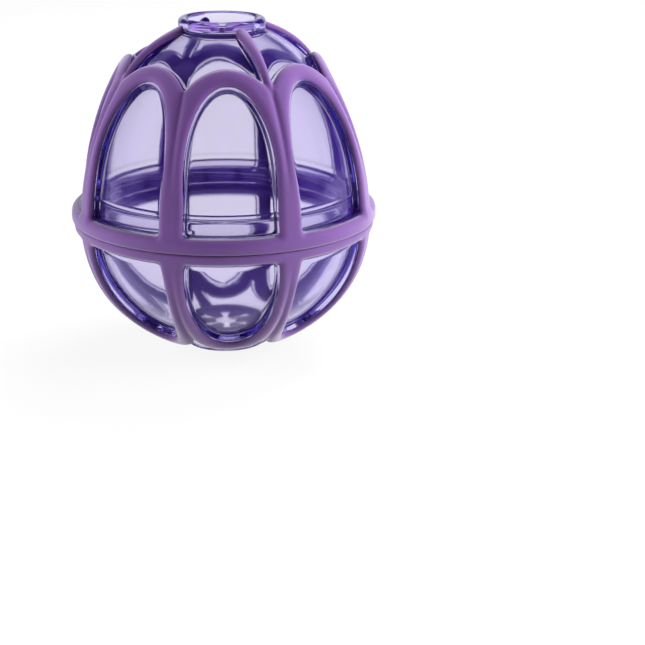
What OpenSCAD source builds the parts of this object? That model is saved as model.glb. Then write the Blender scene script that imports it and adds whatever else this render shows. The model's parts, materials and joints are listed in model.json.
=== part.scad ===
// Treat dispensing egg: two clear half shells that screw together, each carried in a soft rib
// cage, with a pronged outlet at either end.
// Millimetres. Z is up, the egg stands on its lower collar at Z = 0, and a window faces -Y.
// Each half is drawn in its own height v, measured from the parting plane outward.

/* [Egg] */
// Outer radius of the ribs at the equator
egg_r = 56.2; // [52:0.1:60]
// Height of the crown above the equator
crown_rise = 76.5; // [72:0.5:86]
// Depth of the base below the equator
base_drop = 52; // [47:0.5:56]
// Height of the equator above the parting plane
equator_lift = 1; // [0.5:0.1:2]

/* [Walls] */
// Thickness of the clear shells
wall = 2.5; // [2:0.1:3]
// Height of the clear ridges that carry the ribs
ridge_h = 2.2; // [1.6:0.1:2.8]
// Thickness of the soft ribs
cap_t = 1.9; // [1.4:0.1:2.6]
// Width of clear ridge that shows beside a rib
ledge = 1; // [0.5:0.1:1.4]
// Bond line between soft and clear material
bond = 0.05; // [0.03:0.01:0.1]

/* [Ribs] */
// Width of a rib where it leaves the rim
rib_foot_w = 8.4; // [7:0.2:10]
// Width of a rib where its arches spring
rib_w = 7.4; // [6.6:0.2:8.2]
// Width of the struts that run to the collar
strut_w = 5.2; // [4:0.2:6.4]
// How much lower the struts lie where they meet a collar
strut_dip = 2; // [1.4:0.1:2.1]
// Distance from the collar over which the struts sink
strut_run = 20; // [14:1:24]
// Corner radius at the foot of a window
corner_r = 1.6; // [0.8:0.2:2.4]

/* [Crown windows] */
// Height of the upper rim band
crown_rim_h = 5.6; // [4.6:0.2:8]
// Height where the upper arches spring
crown_spring = 24; // [20:0.5:28]
// Plan radius of the inner edge of the arches
crown_eye_r = 34; // [32:0.2:35]
// Plan width of an arch at its tip
crown_arch_w = 4.5; // [3.5:0.2:5.1]
// How much farther out neighbouring arches part
crown_cusp_d = 6; // [5:0.2:8]

/* [Base windows] */
// Height of the lower rim band
base_rim_h = 4; // [3:0.1:5]
// Depth where the lower bows spring
base_spring = 9; // [7:0.5:11]
// Plan radius of the inner edge of the bows
base_eye_r = 26; // [24:0.2:27.4]
// Plan width of a bow at its tip
base_arch_w = 5.8; // [4.6:0.2:6]
// How much farther out neighbouring bows part
base_cusp_d = 10.6; // [9:0.2:13]

/* [Rim] */
// How far the upper rim band stands out beyond the ribs
flange_h = 0.8; // [0.4:0.1:1.6]
// Radius of the bulge of the upper rim band
bulge_r = 7; // [6:0.5:12]
// Bevel of the lower rim at the parting plane
edge_r = 0.5; // [0.3:0.1:0.8]
// Gap between the two rims when screwed shut
seam_gap = 0.25; // [0.2:0.05:0.5]
// How far the seats of the rim bands lie below the window feet
seat_drop = 0.6; // [0.4:0.1:1]

/* [Collars and outlets] */
// Inner radius of the collars
bore_r = 12.4; // [11:0.1:14]
// Thickness of the collars
collar_wall = 3.6; // [3:0.1:4.4]
// Height of the upper collar over the shell
crown_collar_h = 4.4; // [4:0.2:6]
// Height of the lower collar under the shell
base_collar_h = 5; // [3.8:0.2:6]
// Rounding of the collar lips
lip_r = 1.4; // [0.8:0.1:1.7]
// How far an outlet ring reaches behind its collar
ring_land = 2.6; // [2:0.1:2.9]
// How far an outlet ring stands into the bore
ring_lip = 1.1; // [0.6:0.1:1.6]
// Thickness of an outlet ring
ring_t = 3; // [2.4:0.1:4]
// Edge bevel of an outlet ring
ring_edge = 0.5; // [0.3:0.1:0.8]
// Clearance of an outlet ring in its seat
ring_fit = 0.08; // [0.05:0.01:0.1]
// Thickness of a prong
prong_t = 1.6; // [1.2:0.1:2]
// Width of a prong at its root
prong_root_w = 6.2; // [5:0.2:6.6]
// Width of a prong at its tip
prong_tip_w = 2.8; // [2:0.2:3.2]
// Radius of the circle that the prong tips leave open
prong_tip_r = 3.7; // [3.4:0.1:5]
// Distance of the bending line of the prongs from the bore of their ring
prong_back = 1.2; // [1.1:0.1:1.6]
// Depth of the prongs behind the face of their ring
prong_drop = 0.2; // [0.1:0.1:0.8]
// Clearance between the prong roots and their ring
prong_gap = 0.3; // [0.25:0.05:0.4]

/* [Screw] */
// Thickness of the upper shell around the socket
socket_wall = 1.9; // [1.5:0.1:2.5]
// Depth of the socket beyond the neck
socket_spare = 1; // [0.6:0.1:2]
// Wall of the neck
neck_wall = 2.5; // [2:0.1:3]
// Height of the neck above the parting plane
neck_h = 10.3; // [9.6:0.1:11]
// Thickness of the shoulder under the neck
shoulder_h = 3; // [2:0.2:4]
// Radial height of the threads and lugs
thread_h = 0.9; // [0.8:0.05:1]
// Width of the threads and lugs at their root
thread_root_w = 1.6; // [1.2:0.1:1.8]
// Width of the threads and lugs at their tip
thread_tip_w = 0.9; // [0.6:0.1:1.2]
// Radial clearance of the threads
thread_gap = 0.4; // [0.35:0.05:0.5]
// Rise of the upper half in one turn
lead = 12; // [11:0.5:13]
// Height where the threads begin above the parting plane
thread_z = 2.6; // [2.4:0.1:3]
// Angle that one thread covers
thread_span = 110; // [80:5:130]
// Angle that one lug covers
lug_span = 10; // [6:1:12]

/* [Hidden] */
$fn = 96;

windows = 8;
half_pitch = 180 / windows;
starts = 4;
prongs = 6;
// Direction in which the first thread begins
thread_from = -125;
// Depth to which joined shapes run into each other
sink = 0.3;
window_inset = cap_t + ridge_h;
inner_inset = window_inset + wall;
collar_r = bore_r + collar_wall;
ring_r = bore_r + ring_land;
ring_seat_r = ring_r + ring_fit;
ring_bore_r = bore_r - ring_lip;
prong_pivot_r = ring_bore_r - prong_back;
flange_r = egg_r + flange_h;
// Heights on the axis from which the sides of the windows fan out
crown_fan_v = 14;
base_fan_v = -5;

// A half is [equator offset, rise, rim, spring, eye radius, arch width, cusp radius, collar height, fan]
crown = [
    equator_lift, crown_rise, crown_rim_h, crown_spring,
    crown_eye_r, crown_arch_w, crown_eye_r + crown_cusp_d, crown_collar_h, crown_fan_v
];
base = [
    -equator_lift, base_drop, base_rim_h, base_spring,
    base_eye_r, base_arch_w, base_eye_r + base_cusp_d, base_collar_h, base_fan_v
];

// Egg surface of a half, pushed in by an inset
function egg_radius(h, v, inset) =
    (egg_r - inset) * sqrt(1 - pow((v - h[0]) / (h[1] - inset), 2));
function egg_height(h, r, inset) =
    h[0] + (h[1] - inset) * sqrt(1 - pow(r / (egg_r - inset), 2));
function egg_curve(h, inset, v_from, r_to, n) =
    let (a0 = asin((v_from - h[0]) / (h[1] - inset)))
    let (a1 = acos(r_to / (egg_r - inset)))
    [for (i = [0:n])
        let (a = a0 + (a1 - a0) * i / n)
        [(egg_r - inset) * cos(a), h[0] + (h[1] - inset) * sin(a)]];
// Egg curve of the ribs, which sinks towards the collar
function strut_fall(r) =
    let (t = min(1, max(0, (r - collar_r) / strut_run)))
    strut_dip * (1 - t * t * (3 - 2 * t));
function rib_curve(h, inset, v_from, r_to, n) =
    let (a0 = asin((v_from - h[0]) / (h[1] - inset)))
    let (a1 = acos(r_to / (egg_r - inset - strut_dip)))
    [for (i = [0:n])
        let (a = a0 + (a1 - a0) * i / n)
        let (d = inset + strut_fall(egg_r * cos(a)))
        [(egg_r - d) * cos(a), h[0] + (h[1] - d) * sin(a)]];
function reversed(p) = [for (i = [len(p) - 1:-1:0]) p[i]];

// Levels of a half
function foot_v(h) = egg_height(h, collar_r, window_inset);
function top_v(h) = foot_v(h) + h[7];
function rim_seat_r(h) = egg_radius(h, h[2], window_inset);
function rim_seat_v(h) = h[2] - seat_drop;
function tip_v(h) = egg_height(h, h[4] + h[5], 0);
function foot_half(h) = egg_radius(h, h[2], 0) * sin(half_pitch) - rib_foot_w / 2;
function spring_half(h) = egg_radius(h, h[3], 0) * sin(half_pitch) - rib_w / 2;
function cusp_x(h) = h[6] * sin(half_pitch);
function cusp_sag(h) = h[6] * cos(half_pitch) - h[4];
function bow_r(h) = (pow(cusp_x(h), 2) + pow(cusp_sag(h), 2)) / (2 * cusp_sag(h));

seam_z = top_v(base);
socket_r = rim_seat_r(crown) - socket_wall;
neck_r = socket_r - thread_gap - thread_h;
pitch = lead / starts;

// Outline of a window: square foot with round corners, elliptic head
function window_outline(h, inset) =
    let (foot = foot_half(h) - inset)
    let (spring = spring_half(h) - inset)
    let (low = h[2] + inset)
    let (head = tip_v(h) - inset - h[3])
    concat(
        [for (a = [-90:30:0]) [foot - corner_r + corner_r * cos(a), low + corner_r + corner_r * sin(a)]],
        [for (a = [0:12:180]) [spring * cos(a), h[3] + head * sin(a)]],
        [for (a = [180:30:270]) [-foot + corner_r + corner_r * cos(a), low + corner_r + corner_r * sin(a)]]
    );

// Solid egg of a half below a given inset
module core(h, inset) {
    rotate_extrude()
        polygon(concat([[0, -1], [egg_radius(h, 0, inset), -1]],
            egg_curve(h, inset, 0, 0.01, 14),
            [[0, h[0] + h[1] - inset]]));
}

// Outline of a window on the egg, carried from the axis to a given depth of view
function window_ring(h, inset, reach) =
    [for (p = window_outline(h, inset))
        let (y = sqrt(pow(egg_radius(h, p[1], 0), 2) - pow(p[0], 2)))
        [p[0] * reach / y, -reach, h[8] + (p[1] - h[8]) * reach / y]];

// A window with sides that fan out from the axis, about square to the egg
module window_fan(h, inset) {
    n = len(window_outline(h, inset));
    polyhedron(
        concat(window_ring(h, inset, egg_r / 6), window_ring(h, inset, egg_r * 1.3)),
        concat([[for (i = [0:n - 1]) i]], [[for (i = [n - 1:-1:0]) n + i]],
            [for (i = [0:n - 1]) [i, n + i, n + (i + 1) % n, (i + 1) % n]]));
}

// Windows of a half, kept clear of the solid egg below the given inset
module window_cutters(h, inset, core_inset) {
    for (k = [0:windows - 1])
        difference() {
            rotate([0, 0, k * 2 * half_pitch]) window_fan(h, inset);
            core(h, core_inset);
        }
}

// Plan of the opening between the arches, the struts and the collar
module eye_plan(h, inset, hub_r) {
    difference() {
        circle(h[6] + 0.5);
        for (k = [0:windows - 1])
            rotate(k * 2 * half_pitch)
                translate([0, -(h[4] + bow_r(h))])
                    circle(bow_r(h) + inset);
        for (k = [0:3])
            rotate(-90 + half_pitch + 90 * k)
                translate([0, -strut_w / 2 - inset])
                    square([h[6] + 2, strut_w + 2 * inset]);
        circle(hub_r);
    }
}

// Soft cage of a half; rim holds the outside of the rim band from its seat up to rib_v
module half_cage(h, rim, rib_v) {
    difference() {
        rotate_extrude()
            polygon(concat(
                rim,
                rib_curve(h, 0, rib_v, collar_r + bond, 15),
                reversed(rib_curve(h, cap_t - bond, rim_seat_v(h), collar_r + bond, 15)),
                [[rim_seat_r(h) + bond, rim_seat_v(h)]]));
        window_cutters(h, 0, window_inset + 1);
        translate([0, 0, h[3]])
            linear_extrude(h[1])
                eye_plan(h, 0, collar_r - 1);
    }
}

module half_shell(h, low) {
    difference() {
        union() {
            rotate_extrude()
                polygon(concat(
                    [[egg_radius(h, 1, inner_inset), low], [rim_seat_r(h), low],
                        [rim_seat_r(h), rim_seat_v(h) + bond]],
                    rib_curve(h, cap_t, rim_seat_v(h) + bond, ring_seat_r, 14),
                    reversed(egg_curve(h, inner_inset, 1, ring_seat_r, 14))));
            collar(h);
        }
        window_cutters(h, ledge, window_inset);
        difference() {
            translate([0, 0, h[3]])
                linear_extrude(h[1])
                    eye_plan(h, ledge, collar_r);
            core(h, window_inset);
        }
    }
}

// Round collar at the end of a half, with a rounded lip
module collar(h) {
    rotate_extrude()
        polygon(concat(
            [[bore_r, foot_v(h)], [ring_seat_r, foot_v(h)], [ring_seat_r, foot_v(h) - sink],
                [collar_r, foot_v(h) - sink]],
            [for (a = [0:18:90])
                [collar_r - lip_r + lip_r * cos(a), top_v(h) - lip_r + lip_r * sin(a)]],
            [for (a = [90:18:180])
                [bore_r + lip_r + lip_r * cos(a), top_v(h) - lip_r + lip_r * sin(a)]]));
}

module outlet_ring(h) {
    top = foot_v(h) - ring_fit;
    low = top - ring_t;
    rotate_extrude()
        polygon([[ring_bore_r, top], [ring_r, top], [ring_r, low + ring_edge],
            [ring_r - ring_edge, low], [ring_bore_r + ring_edge, low], [ring_bore_r, low + ring_edge]]);
}

// One prong: a tapered tongue with a round root on its bending line
module prong(h, k) {
    mid = foot_v(h) - ring_fit - prong_drop - prong_t / 2;
    rotate([0, 0, k * 360 / prongs])
        translate([0, 0, mid])
            intersection() {
                union() {
                    translate([0, 0, -prong_t / 2])
                        linear_extrude(prong_t)
                            polygon([[prong_tip_r, -prong_tip_w / 2], [prong_pivot_r, -prong_root_w / 2],
                                [prong_pivot_r, prong_root_w / 2], [prong_tip_r, prong_tip_w / 2]]);
                    translate([prong_pivot_r, prong_root_w / 2, 0])
                        rotate([90, 0, 0])
                            cylinder(r = prong_t / 2, h = prong_root_w);
                }
                translate([0, 0, -prong_t])
                    cylinder(r = ring_bore_r - prong_gap, h = 2 * prong_t);
            }
}

// Neck of the lower half with its shoulder and rounded lip
module neck() {
    inside = neck_r - neck_wall;
    root_r = rim_seat_r(base) - 2 * sink;
    lip = 0.46 * neck_wall;
    rotate_extrude()
        polygon(concat(
            [[inside, -shoulder_h], [root_r, -shoulder_h - (root_r - inside)], [root_r, 0], [neck_r, 0]],
            [for (a = [0:18:90]) [neck_r - lip + lip * cos(a), neck_h - lip + lip * sin(a)]],
            [for (a = [90:18:180]) [inside + lip + lip * cos(a), neck_h - lip + lip * sin(a)]]));
}

// One thread of the neck: a tapered ridge on a right-hand helix
module thread(turned) {
    n = 22;
    root = thread_root_w / 2;
    tip = thread_tip_w / 2;
    section = [[-sink, -root], [thread_h, -tip], [thread_h, tip], [-sink, root]];
    points = [for (i = [0:n]) for (s = section)
        let (a = turned + thread_span * i / n)
        [(neck_r + s[0]) * cos(a), (neck_r + s[0]) * sin(a), thread_z + lead * thread_span * i / n / 360 + s[1]]];
    sides = [for (i = [0:n - 1]) for (j = [0:3])
        let (p = 4 * i + j, q = 4 * i + (j + 1) % 4)
        [[p, q, p + 4], [q, q + 4, p + 4]]];
    faces = concat([[0, 2, 1], [0, 3, 2]],
        [for (s = sides) s[0]], [for (s = sides) s[1]],
        [[4 * n, 4 * n + 1, 4 * n + 2], [4 * n, 4 * n + 2, 4 * n + 3]]);
    polyhedron(points, faces);
}

// One lug of the upper half, half a pitch under the middle of its thread
module lug(turned) {
    level = thread_z + lead * thread_span / 2 / 360 - pitch / 2;
    root = thread_root_w / 2;
    tip = thread_tip_w / 2;
    rotate([0, 0, turned + thread_span / 2 - lug_span / 2])
        translate([0, 0, level])
            rotate_extrude(angle = lug_span)
                polygon([[socket_r + sink, -root], [socket_r + sink, root],
                    [socket_r - thread_h, tip], [socket_r - thread_h, -tip]]);
}

module lower_shell() {
    color("Thistle")
        translate([0, 0, seam_z]) {
            mirror([0, 0, 1]) half_shell(base, 0);
            neck();
            for (k = [0:starts - 1]) thread(thread_from + 360 / starts * k);
        }
}

module upper_shell() {
    color("Thistle")
        translate([0, 0, seam_z])
            union() {
                difference() {
                    half_shell(crown, seam_gap);
                    translate([0, 0, -1]) cylinder(r = socket_r, h = neck_h + socket_spare + 1);
                }
                for (k = [0:starts - 1]) lug(thread_from + 360 / starts * k);
            }
}

module lower_cage() {
    seat = rim_seat_r(base) + bond;
    color("MediumPurple")
        translate([0, 0, seam_z])
            mirror([0, 0, 1])
                half_cage(base, [[seat, 0], [egg_radius(base, 0, edge_r), 0]], edge_r);
}

module upper_cage() {
    seat = rim_seat_r(crown) + bond;
    rise = rim_seat_v(crown) - seam_gap;
    color("MediumPurple")
        translate([0, 0, seam_z])
            half_cage(crown, concat([[seat, seam_gap]],
                [for (i = [0:6])
                    let (v = rise * i / 6)
                    [flange_r - bulge_r + sqrt(pow(bulge_r, 2) - pow(v - rise / 2, 2)), v + seam_gap]]),
                rim_seat_v(crown));
}

module lower_outlet_ring() {
    color("Plum") translate([0, 0, seam_z]) mirror([0, 0, 1]) outlet_ring(base);
}

module upper_outlet_ring() {
    color("Plum") translate([0, 0, seam_z]) outlet_ring(crown);
}

module lower_prong(k) {
    color("MediumOrchid") translate([0, 0, seam_z]) mirror([0, 0, 1]) prong(base, k);
}

module upper_prong(k) {
    color("MediumOrchid") translate([0, 0, seam_z]) prong(crown, k);
}

lower_shell();
lower_cage();
lower_outlet_ring();
lower_prong(1);  // lower_prong_1
lower_prong(2);  // lower_prong_2
lower_prong(3);  // lower_prong_3
lower_prong(4);  // lower_prong_4
lower_prong(5);  // lower_prong_5
lower_prong(6);  // lower_prong_6
upper_shell();
upper_cage();
upper_outlet_ring();
upper_prong(1);  // upper_prong_1
upper_prong(2);  // upper_prong_2
upper_prong(3);  // upper_prong_3
upper_prong(4);  // upper_prong_4
upper_prong(5);  // upper_prong_5
upper_prong(6);  // upper_prong_6
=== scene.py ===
"""Treat dispensing egg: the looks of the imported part.

The clear half shells and the soft rib cages are drawn again as smooth skins from the same egg
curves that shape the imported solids. Lengths are in millimetres until a vertex is made.
"""

import json
import math

import bmesh
import bpy
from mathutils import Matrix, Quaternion, Vector

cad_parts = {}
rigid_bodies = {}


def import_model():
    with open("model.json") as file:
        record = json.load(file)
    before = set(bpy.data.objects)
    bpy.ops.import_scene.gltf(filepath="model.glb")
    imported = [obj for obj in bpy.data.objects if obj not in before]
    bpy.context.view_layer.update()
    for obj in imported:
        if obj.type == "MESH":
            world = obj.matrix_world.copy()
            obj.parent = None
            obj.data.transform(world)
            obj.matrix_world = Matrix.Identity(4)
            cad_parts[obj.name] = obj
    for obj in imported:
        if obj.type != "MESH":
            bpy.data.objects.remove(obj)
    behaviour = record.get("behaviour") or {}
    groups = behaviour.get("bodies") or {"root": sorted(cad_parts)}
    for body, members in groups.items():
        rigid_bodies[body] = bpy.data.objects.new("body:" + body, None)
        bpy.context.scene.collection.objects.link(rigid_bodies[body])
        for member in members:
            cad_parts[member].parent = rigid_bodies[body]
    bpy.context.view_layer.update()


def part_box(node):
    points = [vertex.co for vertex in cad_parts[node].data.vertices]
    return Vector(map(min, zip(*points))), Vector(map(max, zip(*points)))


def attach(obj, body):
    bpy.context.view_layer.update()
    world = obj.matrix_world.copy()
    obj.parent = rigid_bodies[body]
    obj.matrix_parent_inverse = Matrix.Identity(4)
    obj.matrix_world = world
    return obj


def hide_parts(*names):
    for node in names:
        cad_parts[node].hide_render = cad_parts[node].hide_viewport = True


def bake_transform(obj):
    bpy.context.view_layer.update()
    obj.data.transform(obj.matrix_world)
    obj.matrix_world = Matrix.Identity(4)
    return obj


MM = 0.001

# Egg surface and walls
EGG_R = 56.2
EQUATOR_LIFT = 1.0
WALL = 2.5
RIDGE_H = 2.2
CAP_T = 1.9
LEDGE = 0.6
BOND = 0.05
SUNK = 0.25
WINDOW = CAP_T + RIDGE_H
INNER = WINDOW + WALL
RIDGE_TOP = CAP_T + BOND

# Ribs
RIB_FOOT_W = 8.4
RIB_W = 7.4
STRUT_W = 5.2
STRUT_DIP = 2.0
STRUT_RUN = 20.0
CORNER_R = 1.6
ROUND_R = 3.0
ROUND_DEPTH = 0.85
FLANGE_R = 57.0
SEAM_GAP = 0.25
RIM_EDGE = 0.5
SEAT_DROP = 0.6

# Collars, outlets and screw
COLLAR_R = 16.0
BORE_R = 12.4
LIP_R = 1.7
RING_R = 15.0
RING_BORE_R = 11.3
RING_T = 3.0
RING_FIT = 0.08
PRONGS = 6
PRONG_T = 1.6
PRONG_DROP = 0.2
PRONG_ROOT_W = 6.2
PRONG_TIP_W = 2.8
PRONG_TIP_R = 3.7
PRONG_PIVOT_R = 10.1
NECK_R = 48.795
NECK_WALL = 2.5
NECK_H = 10.3
SHOULDER_H = 3.0
THREAD_H = 0.9
THREAD_GAP = 0.4
LEAD = 12.0
STARTS = 4
THREAD_Z = 2.6
THREAD_SPAN = 110.0
THREAD_FROM = -125.0
LUG_SPAN = 10.0
SOCKET_R = NECK_R + THREAD_H + THREAD_GAP
RING_SEAT_R = RING_R + RING_FIT

WINDOWS = 8
PITCH = 2 * math.pi / WINDOWS
HALF_PITCH = PITCH / 2

# Points on half a window outline: foot, corner, side, head
N_FOOT = 8
N_CORNER = 6
N_SIDE = 14
N_HEAD = 22

# Camera: lens in millimetres, distance in metres, angles in degrees
CAMERA_LENS = 94.3
CAMERA_DISTANCE = 0.640
CAMERA_LIFT = 15.1
CAMERA_TURN = -2.4
CAMERA_PAN = 3.27
CAMERA_TILT = 3.70
CAMERA_ROLL = 0.6

# Light, in metres and watts
WORLD_FILL = 0.2
FLOOR_GLOW = 0.88
BACKDROP_GLOW = 1.0
LAMP_AIM = (0, 0, 0.06)


class Half:
    """One half of the egg. Heights v run from the parting plane outward."""

    def __init__(self, name, sign, rise, rim, spring, eye_r, arch_w, cusp_r, collar_h):
        self.name = name
        self.sign = sign
        self.equator = sign * EQUATOR_LIFT
        self.rise = rise
        self.rim = rim
        self.spring = spring
        self.eye_r = eye_r
        self.cusp_r = cusp_r
        self.low = SEAM_GAP if sign > 0 else 0.0
        self.tip = self.height(eye_r + arch_w, 0)
        self.foot_v = self.height(COLLAR_R, WINDOW)
        self.top_v = self.foot_v + collar_h
        self.seat_r = self.radius(rim, WINDOW)
        self.prong_v = self.foot_v - RING_FIT - PRONG_DROP - PRONG_T / 2
        cusp_x = cusp_r * math.sin(HALF_PITCH)
        sag = cusp_r * math.cos(HALF_PITCH) - eye_r
        self.bow_r = (cusp_x**2 + sag**2) / (2 * sag)

    def radius(self, v, inset):
        return (EGG_R - inset) * math.sqrt(1 - ((v - self.equator) / (self.rise - inset)) ** 2)

    def height(self, r, inset):
        return self.equator + (self.rise - inset) * math.sqrt(1 - (r / (EGG_R - inset)) ** 2)

    def slope_at(self, v):
        """Angle on the egg curve of a point at height v."""
        return math.asin((v - self.equator) / self.rise)

    def on_axis(self, r, v, turn):
        """Point at radius r and height v, turned from the front about the axis."""
        return Vector((r * math.sin(turn), -r * math.cos(turn), SEAM + self.sign * v)) * MM

    def on_egg(self, turn, slope, inset):
        """Point on the egg surface pushed in by an inset."""
        r = (EGG_R - inset) * math.cos(slope)
        v = self.equator + (self.rise - inset) * math.sin(slope)
        return self.on_axis(r, v, turn)

    def v_of(self, slope):
        return self.equator + self.rise * math.sin(slope)


class Skin:
    """Vertices and faces of a mesh; points that coincide become one vertex."""

    def __init__(self):
        self.points = []
        self.faces = []
        self.known = {}

    def vertex(self, co):
        key = (round(co.x, 7), round(co.y, 7), round(co.z, 7))
        if key not in self.known:
            self.known[key] = len(self.points)
            self.points.append(co)
        return self.known[key]

    def face(self, *corners):
        kept = [c for i, c in enumerate(corners) if c != corners[i - 1]]
        if len(set(kept)) >= 3:
            self.faces.append(kept)

    def strip(self, a, b, closed=True):
        """Quads between two rows of the same length."""
        n = len(a)
        for i in range(n if closed else n - 1):
            j = (i + 1) % n
            self.face(a[i], a[j], b[j], b[i])

    def zip_rings(self, a, b):
        """Triangles between two rings of (turn, vertex), each sorted by turn over one full turn."""
        i, j = 0, 0
        while i < len(a) or j < len(b):
            next_a = a[(i + 1) % len(a)][0] + (2 * math.pi if i + 1 >= len(a) else 0)
            next_b = b[(j + 1) % len(b)][0] + (2 * math.pi if j + 1 >= len(b) else 0)
            here_a, here_b = a[i % len(a)][1], b[j % len(b)][1]
            if j >= len(b) or (i < len(a) and next_a <= next_b):
                self.face(here_a, a[(i + 1) % len(a)][1], here_b)
                i += 1
            else:
                self.face(here_a, b[(j + 1) % len(b)][1], here_b)
                j += 1

    def build(self, name):
        mesh = bpy.data.meshes.new(name)
        mesh.from_pydata(self.points, [], self.faces)
        bm = bmesh.new()
        bm.from_mesh(mesh)
        bmesh.ops.recalc_face_normals(bm, faces=bm.faces)
        for f in bm.faces:
            f.smooth = True
        bm.to_mesh(mesh)
        bm.free()
        obj = bpy.data.objects.new(name, mesh)
        bpy.context.scene.collection.objects.link(obj)
        return obj


def mix(a, b, t):
    return a + (b - a) * t


def smooth_step(low, high, x):
    t = min(1.0, max(0.0, (x - low) / (high - low)))
    return t * t * (3 - 2 * t)


def round_edge(s, reach):
    """Height, 0 to 1, of a quarter-round edge at distance s from where it starts."""
    t = min(1.0, s / reach)
    return math.sqrt(1 - (1 - t) ** 2)


def mirrored(right):
    """A closed loop from its right half, which runs from bottom centre to top centre."""
    return right + [(-turn, slope) for turn, slope in reversed(right[1:-1])]


def window_loop(h, inset):
    """Outline of a window, drawn in by an inset, as (turn, slope) pairs."""
    foot = h.radius(h.rim, 0) * math.sin(HALF_PITCH) - RIB_FOOT_W / 2 - inset
    spring = h.radius(h.spring, 0) * math.sin(HALF_PITCH) - RIB_W / 2 - inset
    low = h.rim + inset
    head = h.tip - inset - h.spring
    flat = []
    for i in range(N_FOOT):
        flat.append(((foot - CORNER_R) * i / N_FOOT, low))
    for i in range(N_CORNER + 1):
        a = math.pi / 2 * (i / N_CORNER - 1)
        across = CORNER_R * math.cos(a)
        flat.append((foot - CORNER_R + across, low + CORNER_R + CORNER_R * math.sin(a)))
    for i in range(1, N_SIDE):
        t = i / N_SIDE
        flat.append((mix(foot, spring, t), mix(low + CORNER_R, h.spring, t)))
    for i in range(N_HEAD + 1):
        a = math.pi / 2 * i / N_HEAD
        flat.append((spring * math.cos(a), h.spring + head * math.sin(a)))
    right = []
    for x, v in flat:
        right.append((math.asin(max(0.0, x) / h.radius(v, 0)), h.slope_at(v)))
    right[-1] = (0.0, right[-1][1])
    return mirrored(right)


def bow_points(h, offset, n):
    """Outer edge of an arch, moved out by an offset, from its cusp to its middle."""
    centre = h.eye_r + h.bow_r
    reach = h.bow_r + offset
    offside = centre * math.sin(HALF_PITCH)
    along = centre * math.cos(HALF_PITCH) - math.sqrt(reach**2 - offside**2)
    first = math.asin(along * math.sin(HALF_PITCH) / reach)
    points = []
    for i in range(n + 1):
        a = first * (1 - i / n)
        x, y = reach * math.sin(a), centre - reach * math.cos(a)
        points.append((math.atan2(x, y), math.acos(math.hypot(x, y) / EGG_R)))
    points[0] = (HALF_PITCH, points[0][1])
    return points


HEAD_FROM = N_FOOT + N_CORNER + N_SIDE


def cusp_index(h):
    """Index on the window outline whose outward normal points at the cusp of the arches."""
    loop = window_loop(h, 0)
    turn, slope = bow_points(h, 0, 4)[0]
    cusp = h.on_egg(turn, slope, 0)
    best = None
    for i in range(HEAD_FROM + 2, HEAD_FROM + N_HEAD - 3):
        here = h.on_egg(*loop[i], 0)
        along = (h.on_egg(*loop[i + 1], 0) - h.on_egg(*loop[i - 1], 0)).normalized()
        off = abs(along.dot((cusp - here).normalized()))
        if best is None or off < best[0]:
            best = (off, i)
    return best[1]


def cell_loop(h, cusp, offset, low_v):
    """Edge of a window's cell, point for point beside its outline: rim, meridian, arch."""
    inner = window_loop(h, 0)
    low = h.slope_at(low_v)
    right = []
    for i in range(N_FOOT):
        right.append((inner[i][0], low))
    start = inner[N_FOOT][0]
    top = inner[N_FOOT + N_CORNER][1]
    for i in range(N_CORNER + 1):
        t = 2 * i / N_CORNER
        if t <= 1:
            right.append((mix(start, HALF_PITCH, t), low))
        else:
            right.append((HALF_PITCH, mix(low, top, t - 1)))
    for i in range(N_FOOT + N_CORNER + 1, HEAD_FROM):
        right.append((HALF_PITCH, inner[i][1]))
    cusp_slope = bow_points(h, 0, 4)[0][1]
    spring = h.slope_at(h.spring)
    for i in range(HEAD_FROM, cusp):
        right.append((HALF_PITCH, mix(spring, cusp_slope, (i - HEAD_FROM) / (cusp - HEAD_FROM))))
    right += bow_points(h, offset, HEAD_FROM + N_HEAD - cusp)
    return mirrored(right)


def rim_bulge(h, v):
    """How far the upper rim band stands out beyond the ribs."""
    if h.sign < 0:
        return 0.0
    return (FLANGE_R - EGG_R) * (1 - smooth_step(3.4, 8.5, v))


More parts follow.
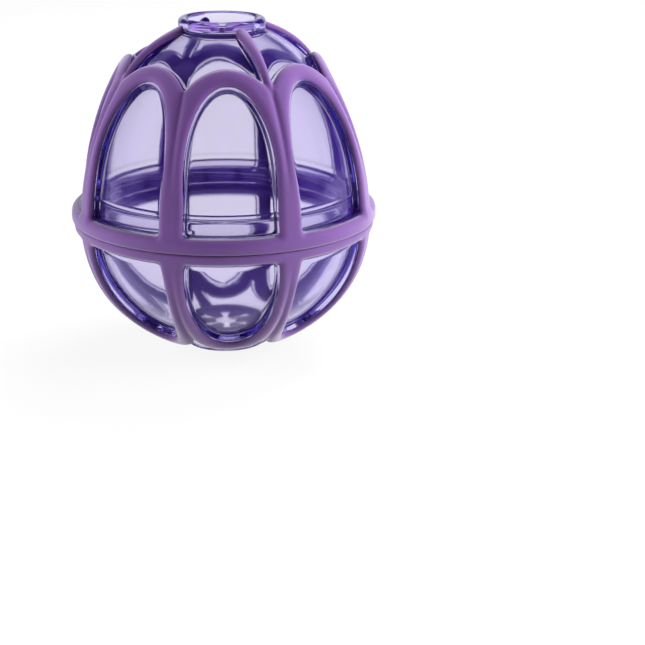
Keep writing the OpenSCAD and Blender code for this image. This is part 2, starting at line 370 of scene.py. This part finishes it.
def cage_skin(h):
    """Rim band and arches of a soft cage as one closed skin."""
    skin = Skin()
    cusp = cusp_index(h)
    low_v = h.low + RIM_EDGE
    inner = window_loop(h, 0)
    outer = cell_loop(h, cusp, 0, low_v)
    n = len(inner)
    shares = [0, 0.07, 0.2, 0.42, 0.7, 1]
    valley_from = mix(h.spring, h.v_of(outer[cusp][1]), -0.1)
    for k in range(WINDOWS):
        tops, backs = [], []
        for i in range(n):
            folded = min(i, n - i)
            (t0, s0), (t1, s1) = inner[i], outer[i]
            width = (h.on_egg(t1, s1, 0) - h.on_egg(t0, s0, 0)).length / MM
            reach = min(ROUND_R, 0.48 * width)
            steps = [reach * e for e in shares] + [width - reach * e for e in reversed(shares)]
            free = 1.0
            if folded < cusp:
                free = math.sqrt(smooth_step(valley_from, h.v_of(outer[cusp][1]), h.v_of(s1)))
            top, back = [], []
            for s in steps:
                f = s / width
                turn, slope = mix(t0, t1, f), mix(s0, s1, f)
                v = h.v_of(slope)
                lift = round_edge(s, reach) * mix(1.0, round_edge(width - s, reach), free)
                inset = CAP_T * ROUND_DEPTH * (1 - lift) - rim_bulge(h, v)
                under = mix(WINDOW + 0.2, RIDGE_TOP + SUNK, smooth_step(h.rim - 1.2, h.rim, v))
                top.append(skin.vertex(h.on_egg(turn + k * PITCH, slope, inset)))
                back.append(skin.vertex(h.on_egg(turn + k * PITCH, slope, under)))
            tops.append(top)
            backs.append(back)
        for i in range(n):
            j = (i + 1) % n
            skin.strip(tops[i], tops[j], closed=False)
            skin.strip(backs[i], backs[j], closed=False)
            skin.face(tops[i][0], tops[j][0], backs[j][0], backs[i][0])
            fold_i, fold_j = min(i, n - i), min(j, n - j)
            if min(fold_i, fold_j) >= cusp:
                skin.face(tops[i][-1], tops[j][-1], backs[j][-1], backs[i][-1])
            if max(fold_i, fold_j) <= N_FOOT + N_CORNER // 2:
                row = []
                for m in (i, j):
                    turn = outer[m][0] + k * PITCH
                    r = h.radius(low_v, 0) + rim_bulge(h, low_v)
                    row.append((
                        tops[m][-1],
                        skin.vertex(h.on_axis(r - RIM_EDGE, h.low, turn)),
                        skin.vertex(h.on_axis(h.seat_r - 0.2, h.low, turn)),
                        backs[m][-1],
                    ))
                for a, b in zip(range(3), range(1, 4)):
                    skin.face(row[0][a], row[1][a], row[1][b], row[0][b])
    return skin


def strut_bar(h, skin, turn, half_w, top, under, reach, r_in, r_out, nose, tail):
    """A bar from the collar to a cusp, with a round nose and a tail that narrows to a given share.

    top and under give the insets of its faces at a radius.
    """
    across = [-1, -0.93, -0.8, -0.55, -0.25, 0, 0.25, 0.55, 0.8, 0.93, 1]
    rows = []
    steps = 24
    for i in range(steps + 1):
        along = mix(r_in, r_out, i / steps)
        wide = half_w * mix(0.45, 1.0, round_edge(along - r_in, nose))
        wide *= mix(1.0, tail, smooth_step(r_in, r_out, along))
        upper, lower = [], []
        for c in across:
            y = c * wide
            r = math.hypot(along, y)
            at = turn + math.atan2(y, along)
            slope = math.acos(r / EGG_R)
            shoulder = 0.72 * (1 - round_edge(wide - abs(y), reach))
            upper.append(skin.vertex(h.on_egg(at, slope, mix(top(along), under(along), shoulder))))
            lower.append(skin.vertex(h.on_egg(at, slope, under(along))))
        rows.append(upper + lower[::-1])
    for a, b in zip(rows, rows[1:]):
        skin.strip(a, b)
    m = len(across)
    for row in (rows[0], rows[-1]):
        for i in range(m - 1):
            skin.face(row[i], row[i + 1], row[2 * m - 2 - i], row[2 * m - 1 - i])


def strut_fall(r):
    """How much lower a strut lies at a radius, near the collar."""
    return STRUT_DIP * (1 - smooth_step(COLLAR_R, COLLAR_R + STRUT_RUN, r))


def strut_turns():
    return [HALF_PITCH + k * math.pi / 2 for k in range(4)]


def baked(obj):
    """Replaces the mesh by the result of the object's modifiers."""
    graph = bpy.context.evaluated_depsgraph_get()
    obj.data = bpy.data.meshes.new_from_object(obj.evaluated_get(graph))
    obj.modifiers.clear()
    for f in obj.data.polygons:
        f.use_smooth = True
    return obj


def make_cage(h, name):
    skin = cage_skin(h)
    for turn in strut_turns():
        strut_bar(
            h, skin, turn, STRUT_W / 2,
            lambda r: strut_fall(r) + 1.5 * smooth_step(h.cusp_r - 2, h.cusp_r + 5, r),
            lambda r: strut_fall(r) + RIDGE_TOP + SUNK,
            2.2, COLLAR_R + 0.05, h.cusp_r + 5, nose=2.4, tail=0.5)
    obj = skin.build(name)
    fuse = obj.modifiers.new("fuse", "REMESH")
    fuse.mode = "VOXEL"
    fuse.voxel_size = 0.5 * MM
    ease = obj.modifiers.new("ease", "SMOOTH")
    ease.factor = 0.5
    ease.iterations = 3
    return baked(obj)


def revolve(h, skin, profile, n, shift=None):
    """A turned surface; shift(turn, r, v) adds to the radius. Returns its first and last row."""
    rows = []
    for r, v in profile:
        row = []
        for i in range(n):
            turn = 2 * math.pi * i / n
            extra = shift(turn, r, v) if shift else 0.0
            row.append(skin.vertex(h.on_axis(r + extra, v, turn)))
        rows.append(row)
    for a, b in zip(rows, rows[1:]):
        skin.strip(a, b)
    turns = [2 * math.pi * i / n for i in range(n)]
    return list(zip(turns, rows[0])), list(zip(turns, rows[-1]))


def sorted_ring(pairs):
    """Points of a ring by turn, each once."""
    seen = {}
    for turn, v in pairs:
        seen[v] = turn % (2 * math.pi)
    return sorted((round(t, 9) % (2 * math.pi), v) for v, t in seen.items())


def arc(r_mid, v_mid, radius, start, end, n):
    """Points of an arc in the (r, v) plane, angles in degrees."""
    points = []
    for i in range(n + 1):
        a = math.radians(mix(start, end, i / n))
        points.append((r_mid + radius * math.cos(a), v_mid + radius * math.sin(a)))
    return points


def thread_lift(turn, w):
    """Radial height of the neck's threads at a turn from the front and a height over the seam."""
    polar = math.degrees(turn) - 90
    best = 0.0
    for k in range(STARTS):
        t = (polar - THREAD_FROM - 90 * k) % 360
        if t > THREAD_SPAN:
            continue
        off = abs(w - THREAD_Z - LEAD * t / 360)
        ends = smooth_step(0, 5, t) * smooth_step(0, 5, THREAD_SPAN - t)
        best = max(best, ends * smooth_step(0.85, 0.45, off) if off > 0.45 else ends)
    return THREAD_H * best


def lug_lift(turn, w):
    polar = math.degrees(turn) - 90
    level = THREAD_Z + LEAD * THREAD_SPAN / 2 / 360 - LEAD / STARTS / 2
    best = 0.0
    for k in range(STARTS):
        t = (polar - THREAD_FROM - THREAD_SPAN / 2 - 90 * k + 180) % 360 - 180
        side = smooth_step(LUG_SPAN / 2 + 1, LUG_SPAN / 2 - 1, abs(t))
        best = max(best, side * smooth_step(0.85, 0.45, abs(w - level)))
    return THREAD_H * best


def end_profile(h):
    """Turned profile from the inner face at the outlet seat over the collar to its foot outside."""
    seat_v = h.height(RING_SEAT_R, INNER)
    points = [(RING_SEAT_R, seat_v), (RING_SEAT_R, seat_v + 0.2), (RING_SEAT_R, h.foot_v - 0.1)]
    points += [(RING_SEAT_R - 0.1, h.foot_v), (BORE_R + 0.3, h.foot_v), (BORE_R, h.foot_v + 0.3)]
    points += [(BORE_R, mix(h.foot_v, h.top_v - LIP_R, 0.5))]
    points += arc(BORE_R + LIP_R, h.top_v - LIP_R, LIP_R, 180, 90, 8)
    points += arc(COLLAR_R - LIP_R, h.top_v - LIP_R, LIP_R, 90, 0, 8)
    foot = h.height(COLLAR_R + 0.9, WINDOW)
    points += [(COLLAR_R, mix(foot, h.top_v - LIP_R, 0.6)), (COLLAR_R, foot + 1.0)]
    points += [(COLLAR_R + 0.1, foot + 0.5), (COLLAR_R + 0.35, foot + 0.18)]
    return points + [(COLLAR_R + 0.7, foot + 0.03)]


def inner_egg(h, v_from, r_to, n):
    """Inner surface of a shell from a height to a radius near the axis."""
    a0 = math.asin((v_from - h.equator) / (h.rise - INNER))
    a1 = math.acos(r_to / (EGG_R - INNER))
    points = []
    for i in range(n + 1):
        a = mix(a0, a1, i / n)
        points.append(((EGG_R - INNER) * math.cos(a), h.equator + (h.rise - INNER) * math.sin(a)))
    return points


def socket_profile(h):
    """Turned profile of the upper shell's inside, from its rim to the outlet seat."""
    depth = NECK_H + 1
    points = [(h.seat_r - 0.3, h.low), (SOCKET_R + 0.3, h.low), (SOCKET_R, h.low + 0.3)]
    rows = 44
    for i in range(1, rows):
        points.append((SOCKET_R, mix(h.low + 0.3, depth, i / rows)))
    points.append((SOCKET_R, depth))
    return points + inner_egg(h, depth + 0.05, RING_SEAT_R, 40)


def neck_profile(h):
    """Turned profile of the lower shell's neck and inside. Heights above the seam are negative."""
    inside = NECK_R - NECK_WALL
    lip = NECK_WALL / 2 - 0.1
    points = [(h.seat_r - 0.3, 0.0), (NECK_R + 0.5, 0.0), (NECK_R + 0.15, -0.12), (NECK_R, -0.45)]
    rows = 48
    for i in range(1, rows + 1):
        points.append((NECK_R, -mix(0.45, NECK_H - lip, i / rows)))
    points += arc(NECK_R - lip, lip - NECK_H, lip, 0, -90, 6)
    points += arc(inside + lip, lip - NECK_H, lip, -90, -180, 6)
    points += [(inside, -NECK_H / 2), (inside, 0.0), (inside, SHOULDER_H - 0.4)]
    points.append((inside + 0.4, SHOULDER_H + 0.4))
    cone_r = inside + 2.5
    points.append((cone_r, SHOULDER_H + 2.5))
    return points + inner_egg(h, SHOULDER_H + 3.1, RING_SEAT_R, 36)


# Section of a ridge's side wall: distance beyond the rib's edge and share of the ridge's height
RIDGE_SIDE = [
    (-0.25, 1.0), (-0.02, 0.97), (0.06, 0.86), (0.11, 0.72),
    (0.2, 0.24), (0.27, 0.07), (0.36, 0.012), (0.5, 0),
]


def make_shell(h, name):
    skin = Skin()
    cusp = cusp_index(h)
    last = HEAD_FROM + N_HEAD
    low_v = h.low
    n = 2 * last
    flat = window_loop(h, LEDGE + RIDGE_SIDE[-1][0])
    bottom_slope = mix(flat[0][1], flat[last][1], 0.22)
    top_slope = mix(flat[0][1], flat[last][1], 0.62)
    shares = [0, 0.18, 0.38, 0.58, 0.76, 0.9, 1]
    panel = []
    for f in shares:
        ring = []
        for turn, slope in flat:
            spine = min(top_slope, max(bottom_slope, slope))
            ring.append((turn * f, mix(spine, slope, f), WINDOW))
        panel.append(ring)
    for away, share in reversed(RIDGE_SIDE[:-1]):
        loop = window_loop(h, LEDGE + away)
        panel.append([(t, s, mix(WINDOW, RIDGE_TOP, share)) for t, s in loop])
    edge = window_loop(h, 0)
    border = cell_loop(h, cusp, 0, low_v)
    seat_v = h.rim - SEAT_DROP
    for f in (0, 0.1, 0.3, 0.65, 1):
        ring = []
        for (t0, s0), (t1, s1) in zip(edge, border):
            slope = mix(s0, s1, f)
            on_ridge = smooth_step(seat_v - 0.1, seat_v + 0.15, h.v_of(slope))
            ring.append((mix(t0, t1, f), slope, mix(WINDOW, RIDGE_TOP, on_ridge)))
        panel.append(ring)
    beyond = []
    span = range(cusp, n - cusp + 1)
    for away, share in RIDGE_SIDE:
        loop = cell_loop(h, cusp, LEDGE + away, low_v)
        beyond.append([(loop[i][0], loop[i][1], mix(WINDOW, RIDGE_TOP, share)) for i in span])
    last_arch = beyond[-1]
    foot_r = COLLAR_R + 1.3
    foot_slope = math.acos(foot_r / (EGG_R - WINDOW))
    for f in (0.25, 0.5, 0.75, 1):
        beyond.append([(t, mix(s, foot_slope, f), WINDOW) for t, s, _ in last_arch])
    rim_ring, hub_ring = [], []
    for k in range(WINDOWS):
        rows = []
        for ring in panel:
            rows.append([skin.vertex(h.on_egg(t + k * PITCH, s, d)) for t, s, d in ring])
        for a, b in zip(rows, rows[1:]):
            skin.strip(a, b)
        arches = [[rows[-1][i] for i in span]]
        for ring in beyond:
            arches.append([skin.vertex(h.on_egg(t + k * PITCH, s, d)) for t, s, d in ring])
        for a, b in zip(arches, arches[1:]):
            skin.strip(a, b, closed=False)
        reach = N_FOOT + N_CORNER // 2
        for i in list(range(reach + 1)) + list(range(n - reach, n)):
            rim_ring.append((border[i][0] + k * PITCH, rows[-1][i]))
        for (t, _, _), v in zip(beyond[-1], arches[-1]):
            hub_ring.append((t + k * PITCH, v))
    if h.sign > 0:
        profile, columns = socket_profile(h) + end_profile(h), 240
        first, final = revolve(h, skin, profile, columns, lambda turn, r, v: (
            -lug_lift(turn, v) if abs(r - SOCKET_R) < 1e-6 else 0.0))
    else:
        profile, columns = neck_profile(h) + end_profile(h), 300
        first, final = revolve(h, skin, profile, columns, lambda turn, r, v: (
            thread_lift(turn, -v) if abs(r - NECK_R) < 1e-6 else 0.0))
    skin.zip_rings(sorted_ring(rim_ring), first)
    skin.zip_rings(sorted_ring(hub_ring), final)
    shell = skin.build(name)
    bars = Skin()
    for turn in strut_turns():
        strut_bar(
            h, bars, turn, STRUT_W / 2 + LEDGE, lambda r: strut_fall(r) + RIDGE_TOP + 0.01,
            lambda r: WINDOW + 0.5, 0.4, COLLAR_R - 0.7, h.cusp_r + 0.4, nose=0.1, tail=0.7)
    ridges = bars.build(name + "_ridges")
    join = shell.modifiers.new("join", "BOOLEAN")
    join.operation = "UNION"
    join.solver = "EXACT"
    join.object = ridges
    baked(shell)
    bpy.data.objects.remove(ridges)
    return shell


def make_ring(h, name):
    top = h.foot_v - RING_FIT
    low = top - RING_T
    edge = 0.5
    profile = [(RING_BORE_R, top - edge), (RING_BORE_R + edge, top), (RING_R - edge / 3, top)]
    profile += [(RING_R, top - edge / 3), (RING_R, low + edge), (RING_R - edge, low)]
    profile += [(RING_BORE_R + edge, low), (RING_BORE_R, low + edge)]
    skin = Skin()
    first, final = revolve(h, skin, profile, 120)
    skin.strip([v for _, v in final], [v for _, v in first])
    obj = skin.build(name)
    bevel = obj.modifiers.new("soften", "BEVEL")
    bevel.width = 0.18 * MM
    bevel.segments = 2
    return baked(obj)


def make_prong(h, name, turn):
    """A tapered tongue with rounded flanks that grows out of its ring."""
    root = RING_BORE_R + 0.3
    skin = Skin()
    rows = []
    steps, around = 26, 28
    for i in range(steps + 1):
        f = i / steps
        along = mix(PRONG_TIP_R, root, f)
        taper = min(1.0, (along - PRONG_TIP_R) / (PRONG_PIVOT_R - PRONG_TIP_R))
        half_w = mix(PRONG_TIP_W, PRONG_ROOT_W, taper) / 2
        half_w += 0.55 * smooth_step(PRONG_PIVOT_R - 0.4, root, along)
        half_t = PRONG_T / 2 * mix(0.8, 1.0, smooth_step(PRONG_TIP_R, PRONG_PIVOT_R, along))
        nose = max(0.12, round_edge(along - PRONG_TIP_R, 1.1))
        row = []
        for j in range(around):
            a = 2 * math.pi * j / around
            c, s = math.cos(a), math.sin(a)
            y = half_w * nose * math.copysign(abs(c) ** 0.45, c)
            z = half_t * max(0.35, nose) * math.copysign(abs(s) ** 0.6, s)
            r = math.hypot(along, y)
            row.append(skin.vertex(h.on_axis(r, h.prong_v + z, turn + math.atan2(y, along))))
        rows.append(row)
    for a, b in zip(rows, rows[1:]):
        skin.strip(a, b)
    skin.faces.append(rows[0])
    skin.faces.append(rows[-1])
    return skin.build(name)


def new_material(name):
    material = bpy.data.materials.new(name)
    material.use_nodes = True
    nodes = material.node_tree.nodes
    return material, nodes, material.node_tree.links, nodes["Principled BSDF"]


def soft_material(name, dark, light, roughness):
    """Matte moulded rubber with a fine grain."""
    material, nodes, links, shader = new_material(name)
    place = nodes.new("ShaderNodeTexCoord")
    cloud = nodes.new("ShaderNodeTexNoise")
    cloud.inputs["Scale"].default_value = 60
    cloud.inputs["Detail"].default_value = 4
    ramp = nodes.new("ShaderNodeValToRGB")
    ramp.color_ramp.elements[0].position = 0.3
    ramp.color_ramp.elements[1].position = 0.7
    ramp.color_ramp.elements[0].color = (*dark, 1)
    ramp.color_ramp.elements[1].color = (*light, 1)
    grain = nodes.new("ShaderNodeTexNoise")
    grain.inputs["Scale"].default_value = 2600
    grain.inputs["Detail"].default_value = 2
    bump = nodes.new("ShaderNodeBump")
    bump.inputs["Strength"].default_value = 0.12
    bump.inputs["Distance"].default_value = 0.00012
    links.new(place.outputs["Object"], cloud.inputs["Vector"])
    links.new(place.outputs["Object"], grain.inputs["Vector"])
    links.new(cloud.outputs["Fac"], ramp.inputs["Fac"])
    links.new(ramp.outputs["Color"], shader.inputs["Base Color"])
    links.new(grain.outputs["Fac"], bump.inputs["Height"])
    links.new(bump.outputs["Normal"], shader.inputs["Normal"])
    shader.inputs["Roughness"].default_value = roughness
    shader.inputs["Specular IOR Level"].default_value = 0.35
    shader.inputs["Sheen Weight"].default_value = 0.4
    shader.inputs["Sheen Roughness"].default_value = 0.45
    return material


def clear_material(name):
    """Clear violet hard plastic that deepens with its thickness and scatters a little light."""
    material, nodes, links, shader = new_material(name)
    shader.inputs["Base Color"].default_value = (0.97, 0.95, 0.99, 1)
    shader.inputs["Transmission Weight"].default_value = 1.0
    shader.inputs["IOR"].default_value = 1.5
    shader.inputs["Specular Tint"].default_value = (0.4, 0.25, 1.0, 1)
    place = nodes.new("ShaderNodeTexCoord")
    ripple = nodes.new("ShaderNodeTexNoise")
    ripple.inputs["Scale"].default_value = 35
    ripple.inputs["Detail"].default_value = 1
    bump = nodes.new("ShaderNodeBump")
    bump.inputs["Strength"].default_value = 0.05
    bump.inputs["Distance"].default_value = 0.0005
    haze = nodes.new("ShaderNodeMapRange")
    haze.inputs["To Min"].default_value = 0.03
    haze.inputs["To Max"].default_value = 0.09
    links.new(place.outputs["Object"], ripple.inputs["Vector"])
    links.new(ripple.outputs["Fac"], bump.inputs["Height"])
    links.new(ripple.outputs["Fac"], haze.inputs["Value"])
    links.new(haze.outputs["Result"], shader.inputs["Roughness"])
    links.new(bump.outputs["Normal"], shader.inputs["Normal"])
    tint = nodes.new("ShaderNodeVolumeAbsorption")
    tint.inputs["Color"].default_value = (0.16, 0.04, 0.84, 1)
    tint.inputs["Density"].default_value = 50
    links.new(tint.outputs["Volume"], nodes["Material Output"].inputs["Volume"])
    cast = nodes.new("ShaderNodeBsdfDiffuse")
    cast.inputs["Color"].default_value = (0.16, 0.03, 1.0, 1)
    body = nodes.new("ShaderNodeMixShader")
    body.inputs[0].default_value = 0.05
    links.new(shader.outputs[0], body.inputs[1])
    links.new(cast.outputs[0], body.inputs[2])
    links.new(body.outputs[0], nodes["Material Output"].inputs["Surface"])
    return material


def wear(obj, material, node, body):
    """Puts a piece in place of a CAD node, riding on its body."""
    obj.data.materials.clear()
    obj.data.materials.append(material)
    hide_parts(node)
    if body:
        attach(obj, body)
    return obj


def area_light(name, place, side, power):
    """A square lamp that the windows don't mirror, because the photograph shows no lamps in them."""
    data = bpy.data.lights.new(name, "AREA")
    data.shape = "RECTANGLE"
    data.size = side
    data.size_y = side
    data.energy = power
    lamp = bpy.data.objects.new(name, data)
    lamp.location = place
    lamp.rotation_mode = "QUATERNION"
    lamp.rotation_quaternion = (Vector(place) - Vector(LAMP_AIM)).to_track_quat("Z", "Y")
    lamp.visible_glossy = False
    lamp.visible_transmission = False
    bpy.context.scene.collection.objects.link(lamp)


def add_camera():
    """Camera fitted to the photograph: the egg stands up and left of the middle."""
    data = bpy.data.cameras.new("camera")
    data.sensor_width = 36
    data.lens = CAMERA_LENS
    camera = bpy.data.objects.new("camera", data)
    turn, lift = math.radians(CAMERA_TURN), math.radians(CAMERA_LIFT)
    back = Vector((math.sin(turn) * math.cos(lift), -math.cos(turn) * math.cos(lift), math.sin(lift)))
    camera.location = Vector((0, 0, SEAM * MM)) + back * CAMERA_DISTANCE
    camera.rotation_mode = "QUATERNION"
    pan = Quaternion((0, 1, 0), -math.radians(CAMERA_PAN))
    tilt = Quaternion((1, 0, 0), -math.radians(CAMERA_TILT))
    roll = Quaternion((0, 0, 1), -math.radians(CAMERA_ROLL))
    camera.rotation_quaternion = back.to_track_quat("Z", "Y") @ pan @ tilt @ roll
    bpy.context.scene.collection.objects.link(camera)
    bpy.context.scene.camera = camera


def seen_rays(nodes, links):
    """A socket that is 1 for rays that show the backdrop and 0 for rays that light the object."""
    path = nodes.new("ShaderNodeLightPath")
    first = nodes.new("ShaderNodeMath")
    first.operation = "ADD"
    first.use_clamp = True
    second = nodes.new("ShaderNodeMath")
    second.operation = "ADD"
    second.use_clamp = True
    links.new(path.outputs["Is Camera Ray"], first.inputs[0])
    links.new(path.outputs["Is Glossy Ray"], first.inputs[1])
    links.new(first.outputs[0], second.inputs[0])
    links.new(path.outputs["Is Transmission Ray"], second.inputs[1])
    return second.outputs[0]


def add_world():
    """A dim even fill; the white of the picture is on the floor and the backdrop."""
    world = bpy.data.worlds.new("studio")
    bpy.context.scene.world = world
    world.use_nodes = True
    fill = world.node_tree.nodes["Background"]
    fill.inputs["Color"].default_value = (0.7, 0.7, 0.7, 1)
    fill.inputs["Strength"].default_value = WORLD_FILL


def white_material(name, glowing):
    """White card of which a share glows for rays that show it, so that the rest still takes shadows."""
    material, nodes, links, shader = new_material(name)
    shader.inputs["Base Color"].default_value = (0.6, 0.6, 0.6, 1)
    shader.inputs["Roughness"].default_value = 0.9
    shader.inputs["Specular IOR Level"].default_value = 0.0
    glow = nodes.new("ShaderNodeEmission")
    glow.inputs["Strength"].default_value = 1.0
    choose = nodes.new("ShaderNodeMixShader")
    part = nodes.new("ShaderNodeMath")
    part.operation = "MULTIPLY"
    part.inputs[1].default_value = glowing
    links.new(seen_rays(nodes, links), part.inputs[0])
    links.new(part.outputs[0], choose.inputs[0])
    links.new(shader.outputs[0], choose.inputs[1])
    links.new(glow.outputs[0], choose.inputs[2])
    links.new(choose.outputs[0], nodes["Material Output"].inputs["Surface"])
    return material


def add_stage():
    bpy.ops.mesh.primitive_plane_add(size=1, location=(0, 0, -0.0002))
    floor = bpy.context.object
    floor.name = "floor"
    floor.scale = (24, 24, 1)
    floor.data.materials.append(white_material("floor_white", FLOOR_GLOW))
    bpy.ops.mesh.primitive_plane_add(size=1, location=(0, 1.9, 0.4), rotation=(math.pi / 2, 0, 0))
    backdrop = bpy.context.object
    backdrop.name = "backdrop"
    backdrop.scale = (3, 0.9, 1)
    backdrop.data.materials.append(white_material("backdrop_white", BACKDROP_GLOW))


for start_object in list(bpy.data.objects):
    bpy.data.objects.remove(start_object)

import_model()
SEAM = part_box("lower_cage")[1].z / MM

crown = Half(
    "upper", 1, rise=76.5, rim=5.6, spring=24.0, eye_r=34.0, arch_w=4.5, cusp_r=40.0, collar_h=4.4)
base = Half(
    "lower", -1, rise=52.0, rim=4.0, spring=9.0, eye_r=26.0, arch_w=5.8, cusp_r=36.6, collar_h=5.0)

clear = clear_material("clear_violet")
cage_soft = soft_material("cage_soft", (0.087, 0.033, 0.157), (0.102, 0.040, 0.181), 0.55)
outlet_soft = soft_material("outlet_soft", (0.20, 0.10, 0.36), (0.23, 0.12, 0.40), 0.5)

for h, ring_body in ((base, "lower_half"), (crown, "upper_lift")):
    half_body = h.name + "_half"
    shell = make_shell(h, h.name + "_shell_skin")
    wear(shell, clear, h.name + "_shell", half_body)
    cage = make_cage(h, h.name + "_cage_skin")
    wear(cage, cage_soft, h.name + "_cage", half_body)
    ring = make_ring(h, h.name + "_ring_skin")
    wear(ring, outlet_soft, h.name + "_outlet_ring", ring_body)
    for k in range(1, PRONGS + 1):
        node = h.name + "_prong_" + str(k)
        turn = math.radians(360 / PRONGS * k + 90)
        prong = make_prong(h, node + "_skin", turn)
        wear(prong, outlet_soft, node, None)
        bend_from = h.on_axis(RING_BORE_R, h.prong_v, turn)
        bend_to = h.on_axis(2 * PRONG_PIVOT_R - RING_BORE_R, h.prong_v, turn)
        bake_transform(prong)

add_camera()
add_world()
add_stage()
area_light("right_box", (0.85, -0.15, 0.30), side=0.8, power=26)
area_light("left_box", (-0.85, 0.0, 0.28), side=0.8, power=17)
area_light("top_box", (0.40, 0.55, 0.85), side=0.6, power=18)

bpy.context.scene.view_settings.view_transform = "Standard"
